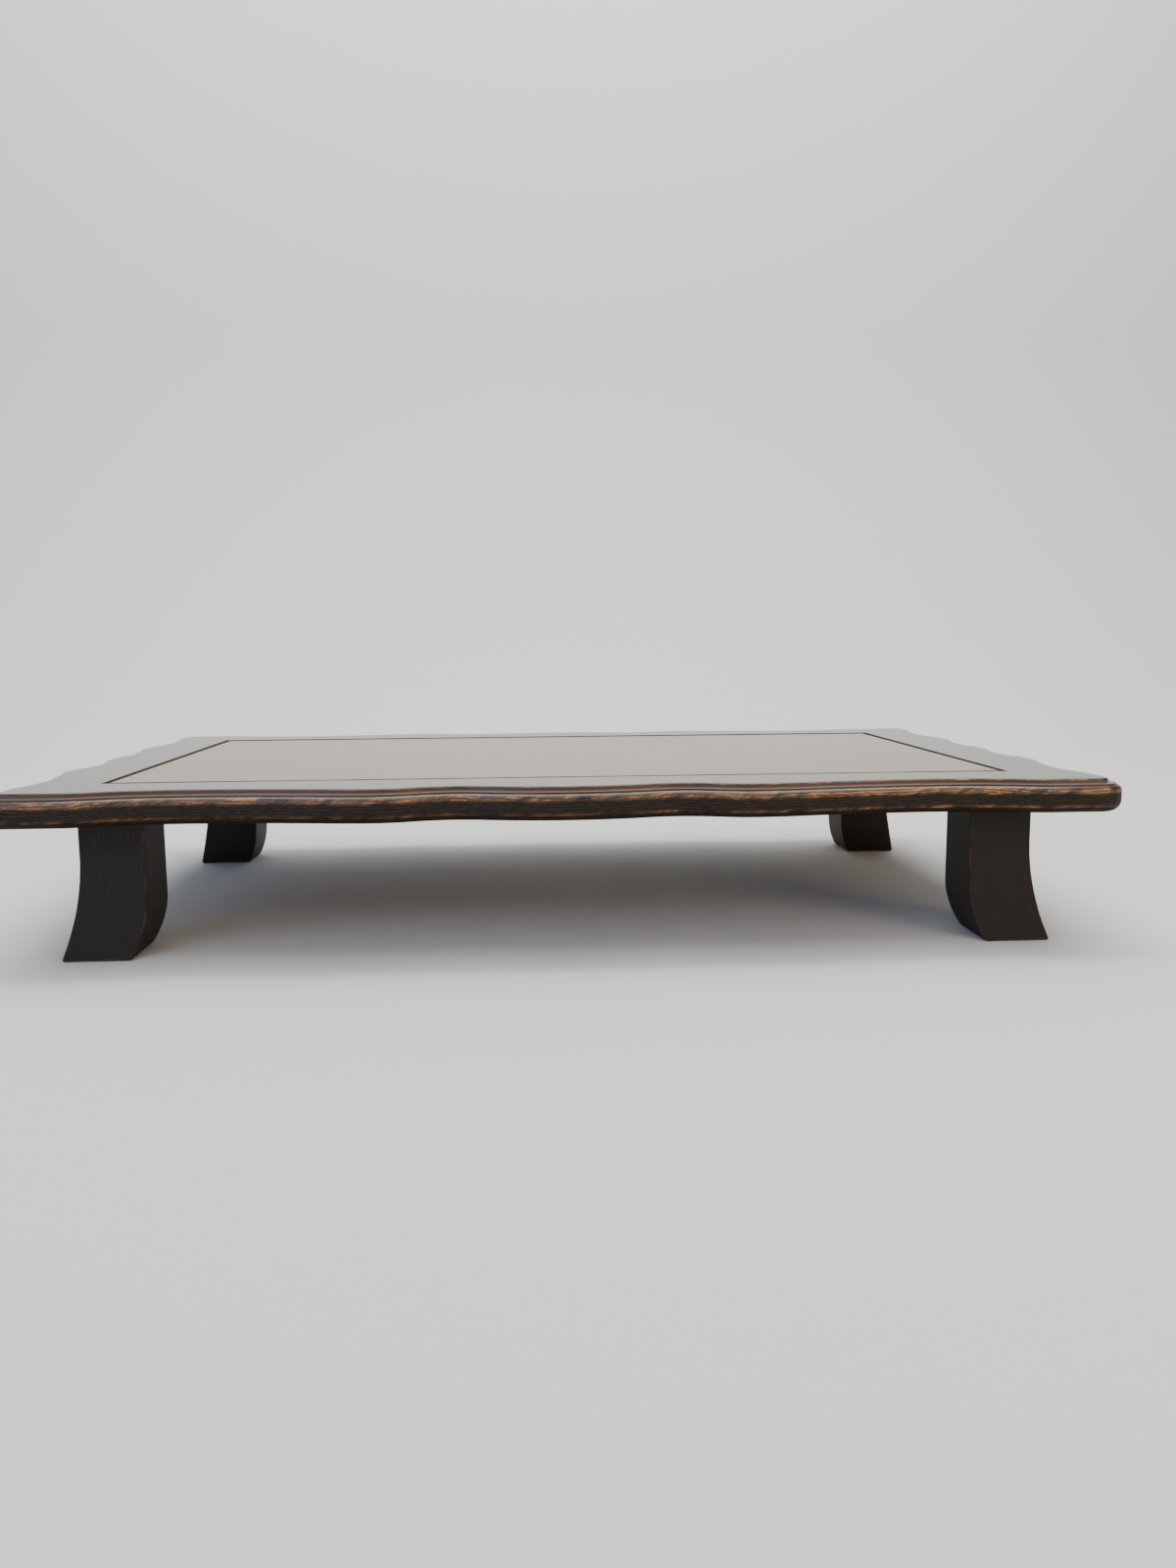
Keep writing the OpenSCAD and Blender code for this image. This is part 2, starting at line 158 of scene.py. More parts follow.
def wiped_lacquer(name, deep, light, thin, worn, ring_mm, roughness, wear_level,
                  film="#ffffff", pool_sheen_colour="#624a3e", ring_share=0.40, specks=0.0):
    """Lacquered ring-porous wood. Colours are sRGB hex, sizes are millimetres."""
    material = bpy.data.materials.new(name)
    material.use_nodes = True
    tree = material.node_tree
    tree.nodes.clear()
    grain = add(tree, "ShaderNodeAttribute", {"attribute_name": "grain"}).outputs["Vector"]
    wear = add(tree, "ShaderNodeAttribute", {"attribute_name": "wear"}).outputs["Fac"]
    polish = add(tree, "ShaderNodeAttribute", {"attribute_name": "polish"}).outputs["Fac"]
    pool_sheen_mask = add(tree, "ShaderNodeAttribute", {"attribute_name": "pool_sheen_mask"}).outputs["Fac"]

    # The rings wander a few millimetres sideways over 60 mm of length.
    slow_at = add(tree, "ShaderNodeVectorMath", {"operation": "MULTIPLY"},
                  {0: grain, 1: [1 / c for c in WANDER_CELL]}).outputs[0]
    slow = add(tree, "ShaderNodeTexNoise", None,
               {"Vector": slow_at, "Scale": 1.0, "Detail": 1.6}).outputs["Color"]
    wander = add(tree, "ShaderNodeVectorMath", {"operation": "MULTIPLY_ADD"},
                 {0: slow, 1: WANDER_REACH, 2: grain}).outputs[0]
    across = add(tree, "ShaderNodeVectorMath", {"operation": "MULTIPLY"},
                 {0: wander, 1: (0.0, 1.0, 1.0)}).outputs[0]
    radius = add(tree, "ShaderNodeVectorMath", {"operation": "LENGTH"},
                 {0: across}).outputs["Value"]
    rings = add(tree, "ShaderNodeMath", {"operation": "MULTIPLY"},
                {0: radius, 1: 1.0 / (ring_mm * MM)}).outputs[0]
    ring = add(tree, "ShaderNodeMath", {"operation": "FRACT"}, {0: rings}).outputs[0]

    # The pores follow the rings, and make the late side of each ring lighter.
    fibre_at = add(tree, "ShaderNodeVectorMath", {"operation": "MULTIPLY"},
                   {0: wander, 1: [1 / c for c in PORE_CELL]}).outputs[0]
    fibre = add(tree, "ShaderNodeTexNoise", None,
                {"Vector": fibre_at, "Scale": 1.0, "Detail": 2.0,
                 "Roughness": 0.6}).outputs["Fac"]
    figure = add(tree, "ShaderNodeMath", {"operation": "MULTIPLY_ADD"},
                 {0: ring, 1: ring_share, 2: fibre}).outputs[0]
    tone = add(tree, "ShaderNodeMapRange", {"interpolation_type": "SMOOTHSTEP"},
               {"Value": figure, "From Min": TONE_FROM,
                "From Max": TONE_TO}).outputs["Result"]
    wood = add(tree, "ShaderNodeMix", {"data_type": "RGBA"},
               {0: tone, 6: linear(deep), 7: linear(light)}).outputs[2]

    # Where the lacquer is rubbed thin it turns reddish, and where it is gone the open wood
    # shows in patches some 20 mm long. They lean as the strokes of the rasp did that shaped
    # the edge. The pores in them stay full of lacquer.
    patch_at = add(tree, "ShaderNodeMapping", {"vector_type": "TEXTURE"},
                   {"Vector": grain, "Rotation": (0.0, PATCH_LEAN, 0.0),
                    "Scale": PATCH_CELL}).outputs[0]
    patch = add(tree, "ShaderNodeTexNoise", None,
                {"Vector": patch_at, "Scale": 1.0, "Detail": 4.0,
                 "Roughness": 0.66}).outputs["Fac"]
    patchy = add(tree, "ShaderNodeMath", {"operation": "MULTIPLY_ADD"},
                 {0: patch, 1: PATCH_GAIN, 2: PATCH_OFFSET}).outputs[0]
    rubbed = add(tree, "ShaderNodeMath", {"operation": "MULTIPLY"},
                 {0: patchy, 1: wear}).outputs[0]
    rubbed = add(tree, "ShaderNodeMath", {"operation": "MULTIPLY_ADD"},
                 {0: figure, 1: FIGURE_IN_WEAR, 2: rubbed}).outputs[0]
    thinned = add(tree, "ShaderNodeMapRange", {"interpolation_type": "SMOOTHSTEP"},
                  {"Value": rubbed, "From Min": THIN_FROM - wear_level,
                   "From Max": THIN_TO - wear_level}).outputs["Result"]
    bare = add(tree, "ShaderNodeMapRange", {"interpolation_type": "SMOOTHSTEP"},
               {"Value": rubbed, "From Min": BARE_FROM - wear_level,
                "From Max": BARE_TO - wear_level}).outputs["Result"]
    thin_wood = add(tree, "ShaderNodeMix", {"data_type": "RGBA"},
                    {0: thinned, 6: wood, 7: linear(thin)}).outputs[2]
    open_wood = add(tree, "ShaderNodeMix", {"data_type": "RGBA"},
                    {0: tone, 6: linear(light), 7: linear(worn)}).outputs[2]
    colour = add(tree, "ShaderNodeMix", {"data_type": "RGBA"},
                 {0: bare, 6: thin_wood, 7: open_wood}).outputs[2]

    # On the ledge, the lip's wall and the bottom of the groove the lacquer has pooled. It dries
    # to a reddish brown there, and only a little of the grain shows. On the lip's wall and the
    # ledge this paler brown is also painted light: it stands in for the reflections they catch.
    pool_sheen = add(tree, "ShaderNodeMath", {"operation": "MULTIPLY"},
               {0: pool_sheen_mask, 1: POOL_SHEEN_MOST}).outputs[0]
    colour = add(tree, "ShaderNodeMix", {"data_type": "RGBA"},
                 {0: pool_sheen, 6: colour, 7: linear(pool_sheen_colour)}).outputs[2]
    if specks:
        # Pin-head marks on the flat panel, about 40 mm apart
        speck_at = add(tree, "ShaderNodeTexVoronoi", {"voronoi_dimensions": "2D"},
                       {"Vector": grain, "Scale": 1 / SPECK_APART, "Randomness": 1.0})
        speck = add(tree, "ShaderNodeMapRange", None,
                    {"Value": speck_at.outputs["Distance"], "From Min": specks,
                     "From Max": specks * 0.6}).outputs["Result"]
        colour = add(tree, "ShaderNodeMix", {"data_type": "RGBA"},
                     {0: speck, 6: colour, 7: linear(SPECK_COLOUR)}).outputs[2]

    # Polish is 1 on the rubbed flats, 0 where the lacquer is as it dried, and -1 where it
    # stays dull, as in the groove. A dull face is rougher and throws back less light.
    sheen = add(tree, "ShaderNodeMapRange", None,
                {"Value": polish, "From Min": -1.0, "From Max": 1.0,
                 "To Min": roughness + DULLER,
                 "To Max": roughness - GLOSSIER}).outputs["Result"]
    sheen = add(tree, "ShaderNodeMath", {"operation": "MULTIPLY_ADD"},
                {0: bare, 1: BARE_ROUGHER, 2: sheen}).outputs[0]
    shine = add(tree, "ShaderNodeMapRange", None,
                {"Value": polish, "From Min": -1.0, "From Max": -0.5,
                 "To Min": DULL_SPECULAR, "To Max": FULL_SPECULAR}).outputs["Result"]
    coat = add(tree, "ShaderNodeMath", {"operation": "MULTIPLY", "use_clamp": True},
               {0: polish, 1: COAT_MOST}).outputs[0]
    bump = add(tree, "ShaderNodeBump", None,
               {"Height": fibre, "Strength": 0.5, "Distance": PORE_DEPTH}).outputs[0]
    shader = add(tree, "ShaderNodeBsdfPrincipled", None,
                 {"Base Color": colour, "Roughness": sheen, "Normal": bump, "IOR": 1.5,
                  "Specular IOR Level": shine, "Coat Weight": coat,
                  "Coat Roughness": COAT_ROUGHNESS, "Coat Tint": linear(film)})
    add(tree, "ShaderNodeOutputMaterial", None, {"Surface": shader.outputs[0]})
    return material


# %% Four woods
# The frame is nearly black, with a satin sheen and an orange brown where it is worn.
FRAME_WOOD = wiped_lacquer("zelkova_wiped_lacquer_frame", "#0c0906", "#35261a", "#4f3827",
                           "#b87a46", ring_mm=1.5, roughness=0.34, wear_level=0.0,
                           film="#f8efdc")
# The panel got fewer coats, so the wood shows through as a warm brown.
PANEL_WOOD = wiped_lacquer("zelkova_wiped_lacquer_panel", "#4a321e", "#7e5a36", "#704838",
                           "#8d5a33", ring_mm=4.5, roughness=0.34, wear_level=-0.3,
                           film="#f1ddc2", specks=0.028)
# The legs are dull and dark, with hardly any figure.
LEG_WOOD = wiped_lacquer("zelkova_wiped_lacquer_leg", "#221d1a", "#352e29", "#463a32",
                         "#6a5444", ring_mm=1.6, roughness=0.42, wear_level=0.0,
                         ring_share=0.12)
# What lies underneath was only stained.
INNER_WOOD = wiped_lacquer("zelkova_thin_stain", "#33241a", "#543c2b", "#5c4330", "#7a5a40",
                           ring_mm=2.5, roughness=0.55, wear_level=-0.2)
print("woods:", [m.name for m in (FRAME_WOOD, PANEL_WOOD, LEG_WOOD, INNER_WOOD)])

# %% [markdown]
# ## The outline's waves
# A carver sets out such an edge with a compass: round crests, and hollows that flow into
# them. Where two arcs meet they share a tangent, which fixes the hollow's radius once the
# crest's radius, its place and the depth are chosen. The outline is worked out for the
# right half of a side and mirrored, so the two halves can't differ.

# %% Outline of the nose, from arcs
ARC_STEP = 1.5


def bend(centre, r, start, stop):
    """Points on an arc between two angles in degrees, at most ARC_STEP apart."""
    steps = max(2, math.ceil(math.radians(abs(stop - start)) * r / ARC_STEP))
    turns = [math.radians(start + (stop - start) * i / steps) for i in range(steps + 1)]
    return [(centre[0] + r * math.cos(a), centre[1] + r * math.sin(a)) for a in turns]


def half_wave(crest, hollow, crest_r):
    """A crest's arc and a hollow's arc, tangent to each other, in order of x."""
    run, fall = abs(hollow[0] - crest[0]), crest[1] - hollow[1]
    turn = 2 * math.degrees(math.atan(fall / run))
    hollow_r = run / math.sin(math.radians(turn)) - crest_r
    crest_c, hollow_c = (crest[0], crest[1] - crest_r), (hollow[0], hollow[1] + hollow_r)
    if hollow[0] > crest[0]:
        first = bend(crest_c, crest_r, 90, 90 - turn)
        return first + bend(hollow_c, hollow_r, 270 - turn, 270)[1:]
    first = bend(hollow_c, hollow_r, 270, 270 + turn)
    return first + bend(crest_c, crest_r, 90 + turn, 90)[1:]


def side_outline(waves, corner):
    """Whole side, left to right, from (crest, hollow, crest radius) of its right half."""
    half = []
    for crest, hollow, crest_r in waves:
        half += half_wave(crest, hollow, crest_r)[1 if half else 0:]
    half += bend((corner[0] - CORNER_R, corner[1] - CORNER_R), CORNER_R, 90, 0)
    return [(-x, y) for x, y in reversed(half[1:])] + half


# Crests and hollows are (distance from the middle of the side, distance out).
long_dip1, long_dip2 = (59.0, CORNER_Y - 7.5), (TOP_W / 2 - 99.0, CORNER_Y - 8.7)
LONG_SIDE = side_outline([((0.0, CORNER_Y), long_dip1, 180.0),
                          ((101.0, CORNER_Y), long_dip1, 60.0),
                          ((101.0, CORNER_Y), long_dip2, 150.0),
                          ((TOP_W / 2 - 40.0, CORNER_Y), long_dip2, 60.0)],
                         (CORNER_X, CORNER_Y))
end_dip1, end_dip2 = (35.0, TOP_W / 2 - 6.6), (TOP_D / 2 - 64.0, TOP_W / 2 - 7.2)
SHORT_SIDE = side_outline([((0.0, TOP_W / 2 - 1.8), end_dip1, 75.0),
                           ((71.0, TOP_W / 2), end_dip1, 50.0),
                           ((71.0, TOP_W / 2), end_dip2, 70.0),
                           ((TOP_D / 2 - 24.0, CORNER_X), end_dip2, 60.0)],
                          (CORNER_Y, CORNER_X))
print("outline points:", len(LONG_SIDE), "long,", len(SHORT_SIDE), "short")

# %% [markdown]
# ## The moulding's section
# Seen in section from the underside up: a large round, an upright face, a smaller round,
# a low step, a nearly flat ledge, and a lip with a small round where the flat top starts.
# Each point also says how worn and how polished it is, whether it was planed by hand, and
# how much of the reddish pool colour it gets. That colour is pooled lacquer, and on the lip's
# wall and the ledge it is also a painted lightening that stands for their reflections.

# %% Section of the moulded edge
UNDER_R, NOSE_R, LIP_R, ARRIS_R = 6.5, 2.8, 1.1, 0.2
LIP_BACK, LEDGE_Z, LEDGE_FALL, STEP_H = 7.0, TOP_T - 2.0, 0.5, 0.9
UPRIGHT_POINTS, LEDGE_POINT = (8.0, 9.5, 10.8), (5.0, LEDGE_Z - 0.24)
# Rows this far beside an arris keep the flat beyond it flat and evenly worn. The hand
# plane worked from a little above the underside up to the nose.
BESIDE, TOP_SPARE, HAND_FROM = 0.3, 1.5, 1.0
# Wear is a few bells over the height: (height, width, most). The nose's falls off faster
# on its underside.
NOSE_WORN_BELOW, NOSE_WORN_ABOVE = (12.0, 1.5, 1.1), (12.0, 2.6, 1.1)
UNDER_WORN, LIP_WORN = (3.8, 0.9, 0.8), (17.4, 0.45, 0.85)
# Polish grows from a height over a width. The upright face and the round under it are dull.
FACE_FROM, FACE_OVER, FACE_DULL, NOSE_POLISH = 11.0, 1.2, 0.8, 0.6
UNDER_DULL = (0.0, 3.5, 0.2)
LIP_FROM, LIP_OVER, LIP_LEAST = 17.2, 0.4, 0.1
# The reddish pool colour starts under the lip's round. On the lip's wall and the ledge it is
# partly a painted reflection.
POOL_SHEEN_BELOW, POOL_SHEEN_OVER = TOP_T - 0.7, 0.5
# A hair's breadth that still counts as on a line, and one that is clear of it
TOUCH, CLEAR = 0.01, 0.05


def quarter(back, z, r, steps):
    """Quarter round from the upright side inwards, about the centre (back, z)."""
    turns = [math.radians(180 - 90 * i / steps) for i in range(steps + 1)]
    return [(back + r * math.cos(a), z + r * math.sin(a)) for a in turns]


def bell(value, centre, width, most=1.0):
    return most * math.exp(-((value - centre) / width) ** 2)


ledge_edge_z = LEDGE_Z - LEDGE_FALL
nose_top_z = ledge_edge_z - STEP_H
under = [(back, 2 * UNDER_R - z) for back, z in quarter(UNDER_R, UNDER_R, UNDER_R, 10)]
section = under[::-1] + [(0.0, z) for z in UPRIGHT_POINTS]
section += quarter(NOSE_R, nose_top_z - NOSE_R, NOSE_R, 8)
section += quarter(NOSE_R + ARRIS_R, ledge_edge_z - ARRIS_R, ARRIS_R, 4)
section += [LEDGE_POINT, (LIP_BACK, LEDGE_Z)]
section += quarter(LIP_BACK + LIP_R, TOP_T - LIP_R, LIP_R, 5)
section += [(LIP_BACK + LIP_R + BESIDE, TOP_T), (LIP_BACK + LIP_R + TOP_SPARE, TOP_T)]
section_wear, section_hand, section_polish, section_pool_sheen = [], [], [], []
for _, z in section:
    on_nose = z < nose_top_z + TOUCH
    on_ledge = nose_top_z + CLEAR < z < TOP_T - LIP_R - CLEAR
    worn_nose = NOSE_WORN_BELOW if z < NOSE_WORN_BELOW[0] else NOSE_WORN_ABOVE
    nose = bell(z, *worn_nose) + bell(z, *UNDER_WORN)
    section_wear.append(nose if on_nose else bell(z, *LIP_WORN))
    section_hand.append(1.0 if HAND_FROM < z < nose_top_z - BESIDE else 0.0)
    face = max(0.0, (z - FACE_FROM) / FACE_OVER) - FACE_DULL
    face = min(NOSE_POLISH, face) - bell(z, *UNDER_DULL)
    lip = LIP_LEAST + (1 - LIP_LEAST) * min(1.0, max(0.0, (z - LIP_FROM) / LIP_OVER))
    section_polish.append(NOSE_POLISH if on_ledge else face if on_nose else lip)
    # The nose gets no pool colour. The faces above it get it: pooled lacquer, and on the lip's
    # wall and the ledge also a painted reflection.
    pool_sheen = min(1.0, max(0.0, (POOL_SHEEN_BELOW - z) / POOL_SHEEN_OVER))
    section_pool_sheen.append(0.0 if on_nose else pool_sheen)
print("section points:", len(section), "highest wear:", round(max(section_wear), 2))

# %% [markdown]
# ## Sweeping the section along the outline
# Two ways come to mind. One is to work out every point of the moulding in Python. The
# other is Geometry Nodes: the outline is a curve, the section is a second curve, and
# Curve to Mesh runs one along the other. The second is what a spindle cutter does in the
# workshop, so it is used here. The curve's normal is kept level, so the section stands
# upright all the way. A little noise along the normal stands for the last strokes of
# a hand plane.

# %% Geometry tree of the moulding
# The noise runs from 0 to 1 about 0.5. Its zero lies higher, so strokes mostly cut in.
STROKE_ZERO = 0.62


def moulding_tree():
    tree = bpy.data.node_groups.new("run_moulding", "GeometryNodeTree")
    ids = {}
    tree.interface.new_socket("Outline", in_out="INPUT", socket_type="NodeSocketGeometry")
    for label, kind in (("Section", "NodeSocketObject"),
                        ("Plane stroke depth", "NodeSocketFloat"),
                        ("Plane stroke length", "NodeSocketFloat"),
                        ("Seed", "NodeSocketFloat"),
                        ("Wood", "NodeSocketMaterial")):
        socket = tree.interface.new_socket(label, in_out="INPUT", socket_type=kind)
        ids[label] = socket.identifier
    tree.interface.new_socket("Moulding", in_out="OUTPUT", socket_type="NodeSocketGeometry")
    given = add(tree, "NodeGroupInput").outputs
    outline = add(tree, "GeometryNodeMeshToCurve", None, {"Mesh": given["Outline"]})
    level = add(tree, "GeometryNodeSetCurveNormal", {"mode": "Z_UP"},
                {"Curve": outline.outputs[0]})
    cutter = add(tree, "GeometryNodeObjectInfo", None, {"Object": given["Section"]})
    cutter = add(tree, "GeometryNodeMeshToCurve", None, {"Mesh": cutter.outputs["Geometry"]})
    swept = add(tree, "GeometryNodeCurveToMesh", None,
                {"Curve": level.outputs[0], "Profile Curve": cutter.outputs[0]})
    place = add(tree, "GeometryNodeInputPosition").outputs[0]
    spread = add(tree, "ShaderNodeVectorMath", {"operation": "DIVIDE"},
                 {0: place, 1: given["Plane stroke length"]}).outputs[0]
    noise = add(tree, "ShaderNodeTexNoise", {"noise_dimensions": "4D"},
                {"Vector": spread, "W": given["Seed"], "Scale": 1.0, "Detail": 1.0})
    stroke = add(tree, "ShaderNodeMath", {"operation": "SUBTRACT"},
                 {0: noise.outputs["Fac"], 1: STROKE_ZERO}).outputs[0]
    stroke = add(tree, "ShaderNodeMath", {"operation": "MULTIPLY"},
                 {0: stroke, 1: given["Plane stroke depth"]}).outputs[0]
    by_hand = add(tree, "GeometryNodeInputNamedAttribute", {"data_type": "FLOAT"},
                  {"Name": "by_hand"}).outputs["Attribute"]
    stroke = add(tree, "ShaderNodeMath", {"operation": "MULTIPLY"},
                 {0: stroke, 1: by_hand}).outputs[0]
    normal = add(tree, "GeometryNodeInputNormal").outputs[0]
    shift = add(tree, "ShaderNodeVectorMath", {"operation": "SCALE"},
                {0: normal, "Scale": stroke}).outputs[0]
    planed = add(tree, "GeometryNodeSetPosition", None,
                 {"Geometry": swept.outputs[0], "Offset": shift})
    real = add(tree, "GeometryNodeRealizeInstances", None, {0: planed.outputs[0]})
    coated = add(tree, "GeometryNodeSetMaterial", None,
                 {"Geometry": real.outputs[0], "Material": given["Wood"]})
    add(tree, "NodeGroupOutput", None, {0: coated.outputs[0]})
    return tree, ids


MOULDING, MOULDING_IDS = moulding_tree()
print("inputs of the moulding tree:", list(MOULDING_IDS))

# %% [markdown]
# The section and each outline are first made as plain chains of edges. In the section's
# own plane, x is the distance behind the nose and y points down, which is how the
# sweep turns it. The result is read back as a grid of points, one row for each step
# along the outline.

# %% Run the moulding along an outline
STROKE_DEPTH, STROKE_LENGTH = 0.22, 16.0


def chain(name, points):
    """Object that is an open chain of edges through points, given in millimetres."""
    mesh = bpy.data.meshes.new(name)
    steps = [(i, i + 1) for i in range(len(points) - 1)]
    mesh.from_pydata([[c * MM for c in p] for p in points], steps, [])
    obj = bpy.data.objects.new(name, mesh)
    bpy.context.scene.collection.objects.link(obj)
    return obj


cutter_object = chain("section", [(back, -z, 0.0) for back, z in section])
by_hand = cutter_object.data.attributes.new("by_hand", "FLOAT", "POINT")
by_hand.data.foreach_set("value", section_hand)


def run_moulding(outline, seed):
    """Points of the swept edge, in metres: [step along the outline, step round it]."""
    path = chain("outline", [(x, y, FRAME_Z) for x, y in outline])
    modifier = path.modifiers.new("moulding", "NODES")
    modifier.node_group = MOULDING
    values = {"Section": cutter_object, "Plane stroke depth": STROKE_DEPTH * MM,
              "Plane stroke length": STROKE_LENGTH * MM, "Seed": float(seed),
              "Wood": FRAME_WOOD}
    for label, value in values.items():
        modifier[MOULDING_IDS[label]] = value
    evaluated = path.evaluated_get(bpy.context.evaluated_depsgraph_get())
    mesh = bpy.data.meshes.new_from_object(evaluated)
    points = np.array([v.co for v in mesh.vertices]).reshape(len(outline), len(section), 3)
    bpy.data.meshes.remove(mesh)
    bpy.data.objects.remove(path)
    return points


test_run = run_moulding(LONG_SIDE, 1)
print("swept edge, mm:", (1000 * test_run.min(axis=(0, 1))).round(2),
      (1000 * test_run.max(axis=(0, 1))).round(2))

# %% [markdown]
# ## Finishing a piece
# Each piece is a row of rings, with walls between every two of them. Every piece also
# ends the same way: its normals point out, hard arrises stay hard, the rest is smooth, its
# grain runs along its own length, and it replaces its CAD solid.

# %% Functions that join and finish a piece
WELD, SHARP = 1e-6, math.radians(38)


def join_rings(bm, rings):
    """Walls between each ring of points and the next. The ends stay open."""
    for a, b in zip(rings, rings[1:]):
        for i in range(len(a)):
            j = (i + 1) % len(a)
            bm.faces.new((a[i], a[j], b[j], b[i]))


def finish_piece(name, node, bm, wood, grain_of, turn=0.0):
    """Makes a piece of bm, in metres. grain_of maps a point to (along, across, through)."""
    bmesh.ops.remove_doubles(bm, verts=bm.verts, dist=WELD)
    bmesh.ops.recalc_face_normals(bm, faces=bm.faces)
    mesh = bpy.data.meshes.new(name)
    bm.to_mesh(mesh)
    bm.free()
    grains = [c for v in mesh.vertices for c in grain_of(v.co)]
    layer = mesh.attributes.new("grain", "FLOAT_VECTOR", "POINT")
    layer.data.foreach_set("vector", grains)
    cos, sin = math.cos(math.radians(turn)), math.sin(math.radians(turn))
    for v in mesh.vertices:
        x, y, z = v.co
        v.co = (x * cos - y * sin, x * sin + y * cos, z)
    mesh.polygons.foreach_set("use_smooth", [True] * len(mesh.polygons))
    mesh.set_sharp_from_angle(angle=SHARP)
    mesh.materials.append(wood)
    obj = bpy.data.objects.new(name, mesh)
    bpy.context.scene.collection.objects.link(obj)
    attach(obj, "root")
    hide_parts(node)
    low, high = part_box(node)
    out = 0.0
    for k in range(3):
        mine = [v.co[k] for v in mesh.vertices]
        out = max(out, low[k] - min(mine), max(mine) - high[k])
    print(f"{name}: {len(mesh.polygons)} faces, at most {out / MM:.2f} mm past its solid's box")


# %% [markdown]
# ## The four rails
# The swept edge is only the outer skin of a rail. Behind each row of the sweep come the
# flat top, the chamfer of the panel joint, the rebate that takes the panel, the shelf
# under it and the flat underside. Joined row by row, these make a closed tube, which is
# then sawn off at both mitres, as the joiner does with a length of moulding.

# %% Rails
# Wear is strongest where a rail is handled, and falls off over this length. Elsewhere
# a share of it is left.
HANDLED_LENGTH, HANDLED_MORE, WEAR_ELSEWHERE = 80.0, 0.50, 0.80
ON_PLANE = 1e-7


def saw(bm, point, outwards):
    """Cuts off all of bm that lies on the outer side of an upright plane."""
    everything = bm.verts[:] + bm.edges[:] + bm.faces[:]
    bmesh.ops.bisect_plane(bm, geom=everything, dist=ON_PLANE, plane_co=point,
                           plane_no=outwards, clear_outer=True)


def rail(name, node, outline, joint, corner, shelf_y, turn, seed, handled_x=0.0):
    edge = run_moulding(outline, seed)
    # Each row ends with (distance out from the middle, height, wear, polish, pool colour). In
    # the groove the pool colour is pooled lacquer.
    chamfer = joint[1] + JOINT_CHAMFER
    inner = [(chamfer + TOP_SPARE, TABLE_H, 0.0, 1.0, 0.0),
             (chamfer + BESIDE, TABLE_H, 0.0, 1.0, 0.0),
             (chamfer, TABLE_H, 0.0, 1.0, 0.0),
             (chamfer - CLEAR, TABLE_H - CLEAR, 0.0, -1.0, 0.0),
             (joint[1], TABLE_H - JOINT_CHAMFER, 0.0, -1.0, 1.0),
             (joint[1], SHELF_Z, 0.0, 0.0, 0.0),
             (shelf_y, SHELF_Z, 0.0, 0.0, 0.0),
             (shelf_y, FRAME_Z, 0.0, 0.0, 0.0)]
    bm = bmesh.new()
    layers = [bm.verts.layers.float.new(label) for label in ("wear", "polish", "pool_sheen_mask")]
    swept = list(zip(section_wear, section_polish, section_pool_sheen))
    round_the_row = swept + [values for _, _, *values in inner]
    rows = []
    for (x, _), ring in zip(outline, edge):
        row = [bm.verts.new(p) for p in ring]
        row += [bm.verts.new((x * MM, y * MM, z * MM)) for y, z, *_ in inner]
        handled = WEAR_ELSEWHERE + bell(x, handled_x, HANDLED_LENGTH, HANDLED_MORE)
        for v, values in zip(row, round_the_row):
            for layer, value in zip(layers, values):
                v[layer] = value
            v[layers[0]] *= handled
        rows.append(row)
    join_rings(bm, rows)
    along = (corner[0] - joint[0], corner[1] - joint[1])
    for side in (1, -1):
        saw(bm, (side * joint[0] * MM, joint[1] * MM, 0.0), (side * along[1], -along[0], 0.0))
    bmesh.ops.holes_fill(bm, edges=[e for e in bm.edges if e.is_boundary], sides=0)
    # Each rail comes from another place of the plank. The plank's pith lay below it,
    # a little to one side.
    pith = (0.31 * seed + 0.04, -joint[1] * MM - 0.012 * seed, 0.020)
    finish_piece(name, node, bm, FRAME_WOOD,
                 lambda p: (p[0] + pith[0], p[1] + pith[1], p[2] - pith[2]), turn)


LONG_RAIL = LONG_SIDE, (JOINT_X, JOINT_Y), (CORNER_X, CORNER_Y), SHELF_Y
SHORT_RAIL = SHORT_SIDE, (JOINT_Y, JOINT_X), (CORNER_Y, CORNER_X), SHELF_X
rail("moulded_back_rail", "back_rail", *LONG_RAIL, turn=0.0, seed=1)
rail("moulded_front_rail", "front_rail", *LONG_RAIL, turn=180.0, seed=2, handled_x=-190.0)
rail("moulded_right_rail", "right_rail", *SHORT_RAIL, turn=-90.0, seed=3)
rail("moulded_left_rail", "left_rail", *SHORT_RAIL, turn=90.0, seed=4)
bpy.data.objects.remove(cutter_object)

# %% [markdown]
# ## The panel
# One wide board with the same small chamfer as the frame, so that the joint between them
# is a V. It is built as a stack of rectangles. A rectangle just inside the rim keeps the
# wear of the arris from spreading over the whole face. The board has dried since it was
# made, and lies a third of a millimetre low at the back. At a grazing angle that little
# step is what makes the joint there a dark line.

# %% Panel


def stack_of_rectangles(levels):
    """Closed solid from (half x, half y, z, wear, polish) levels, lowest first, in mm."""
    bm = bmesh.new()
    wear, polish = (bm.verts.layers.float.new(label) for label in ("wear", "polish"))
    rings = []
    for half_x, half_y, z, value, shine in levels:
        ring = [bm.verts.new((sx * half_x * MM, sy * half_y * MM, z * MM))
                for sx, sy in ((-1, -1), (1, -1), (1, 1), (-1, 1))]
        for v in ring:
            v[wear], v[polish] = value, shine
        rings.append(ring)
    bm.faces.new(rings[0][::-1])
    bm.faces.new(rings[-1])
    join_rings(bm, rings)
    return bm


BACK_SINK, SINK_FROM = 0.35, TABLE_H - JOINT_CHAMFER + 0.1
panel_x, panel_y = JOINT_X - PANEL_GAP, JOINT_Y - PANEL_GAP
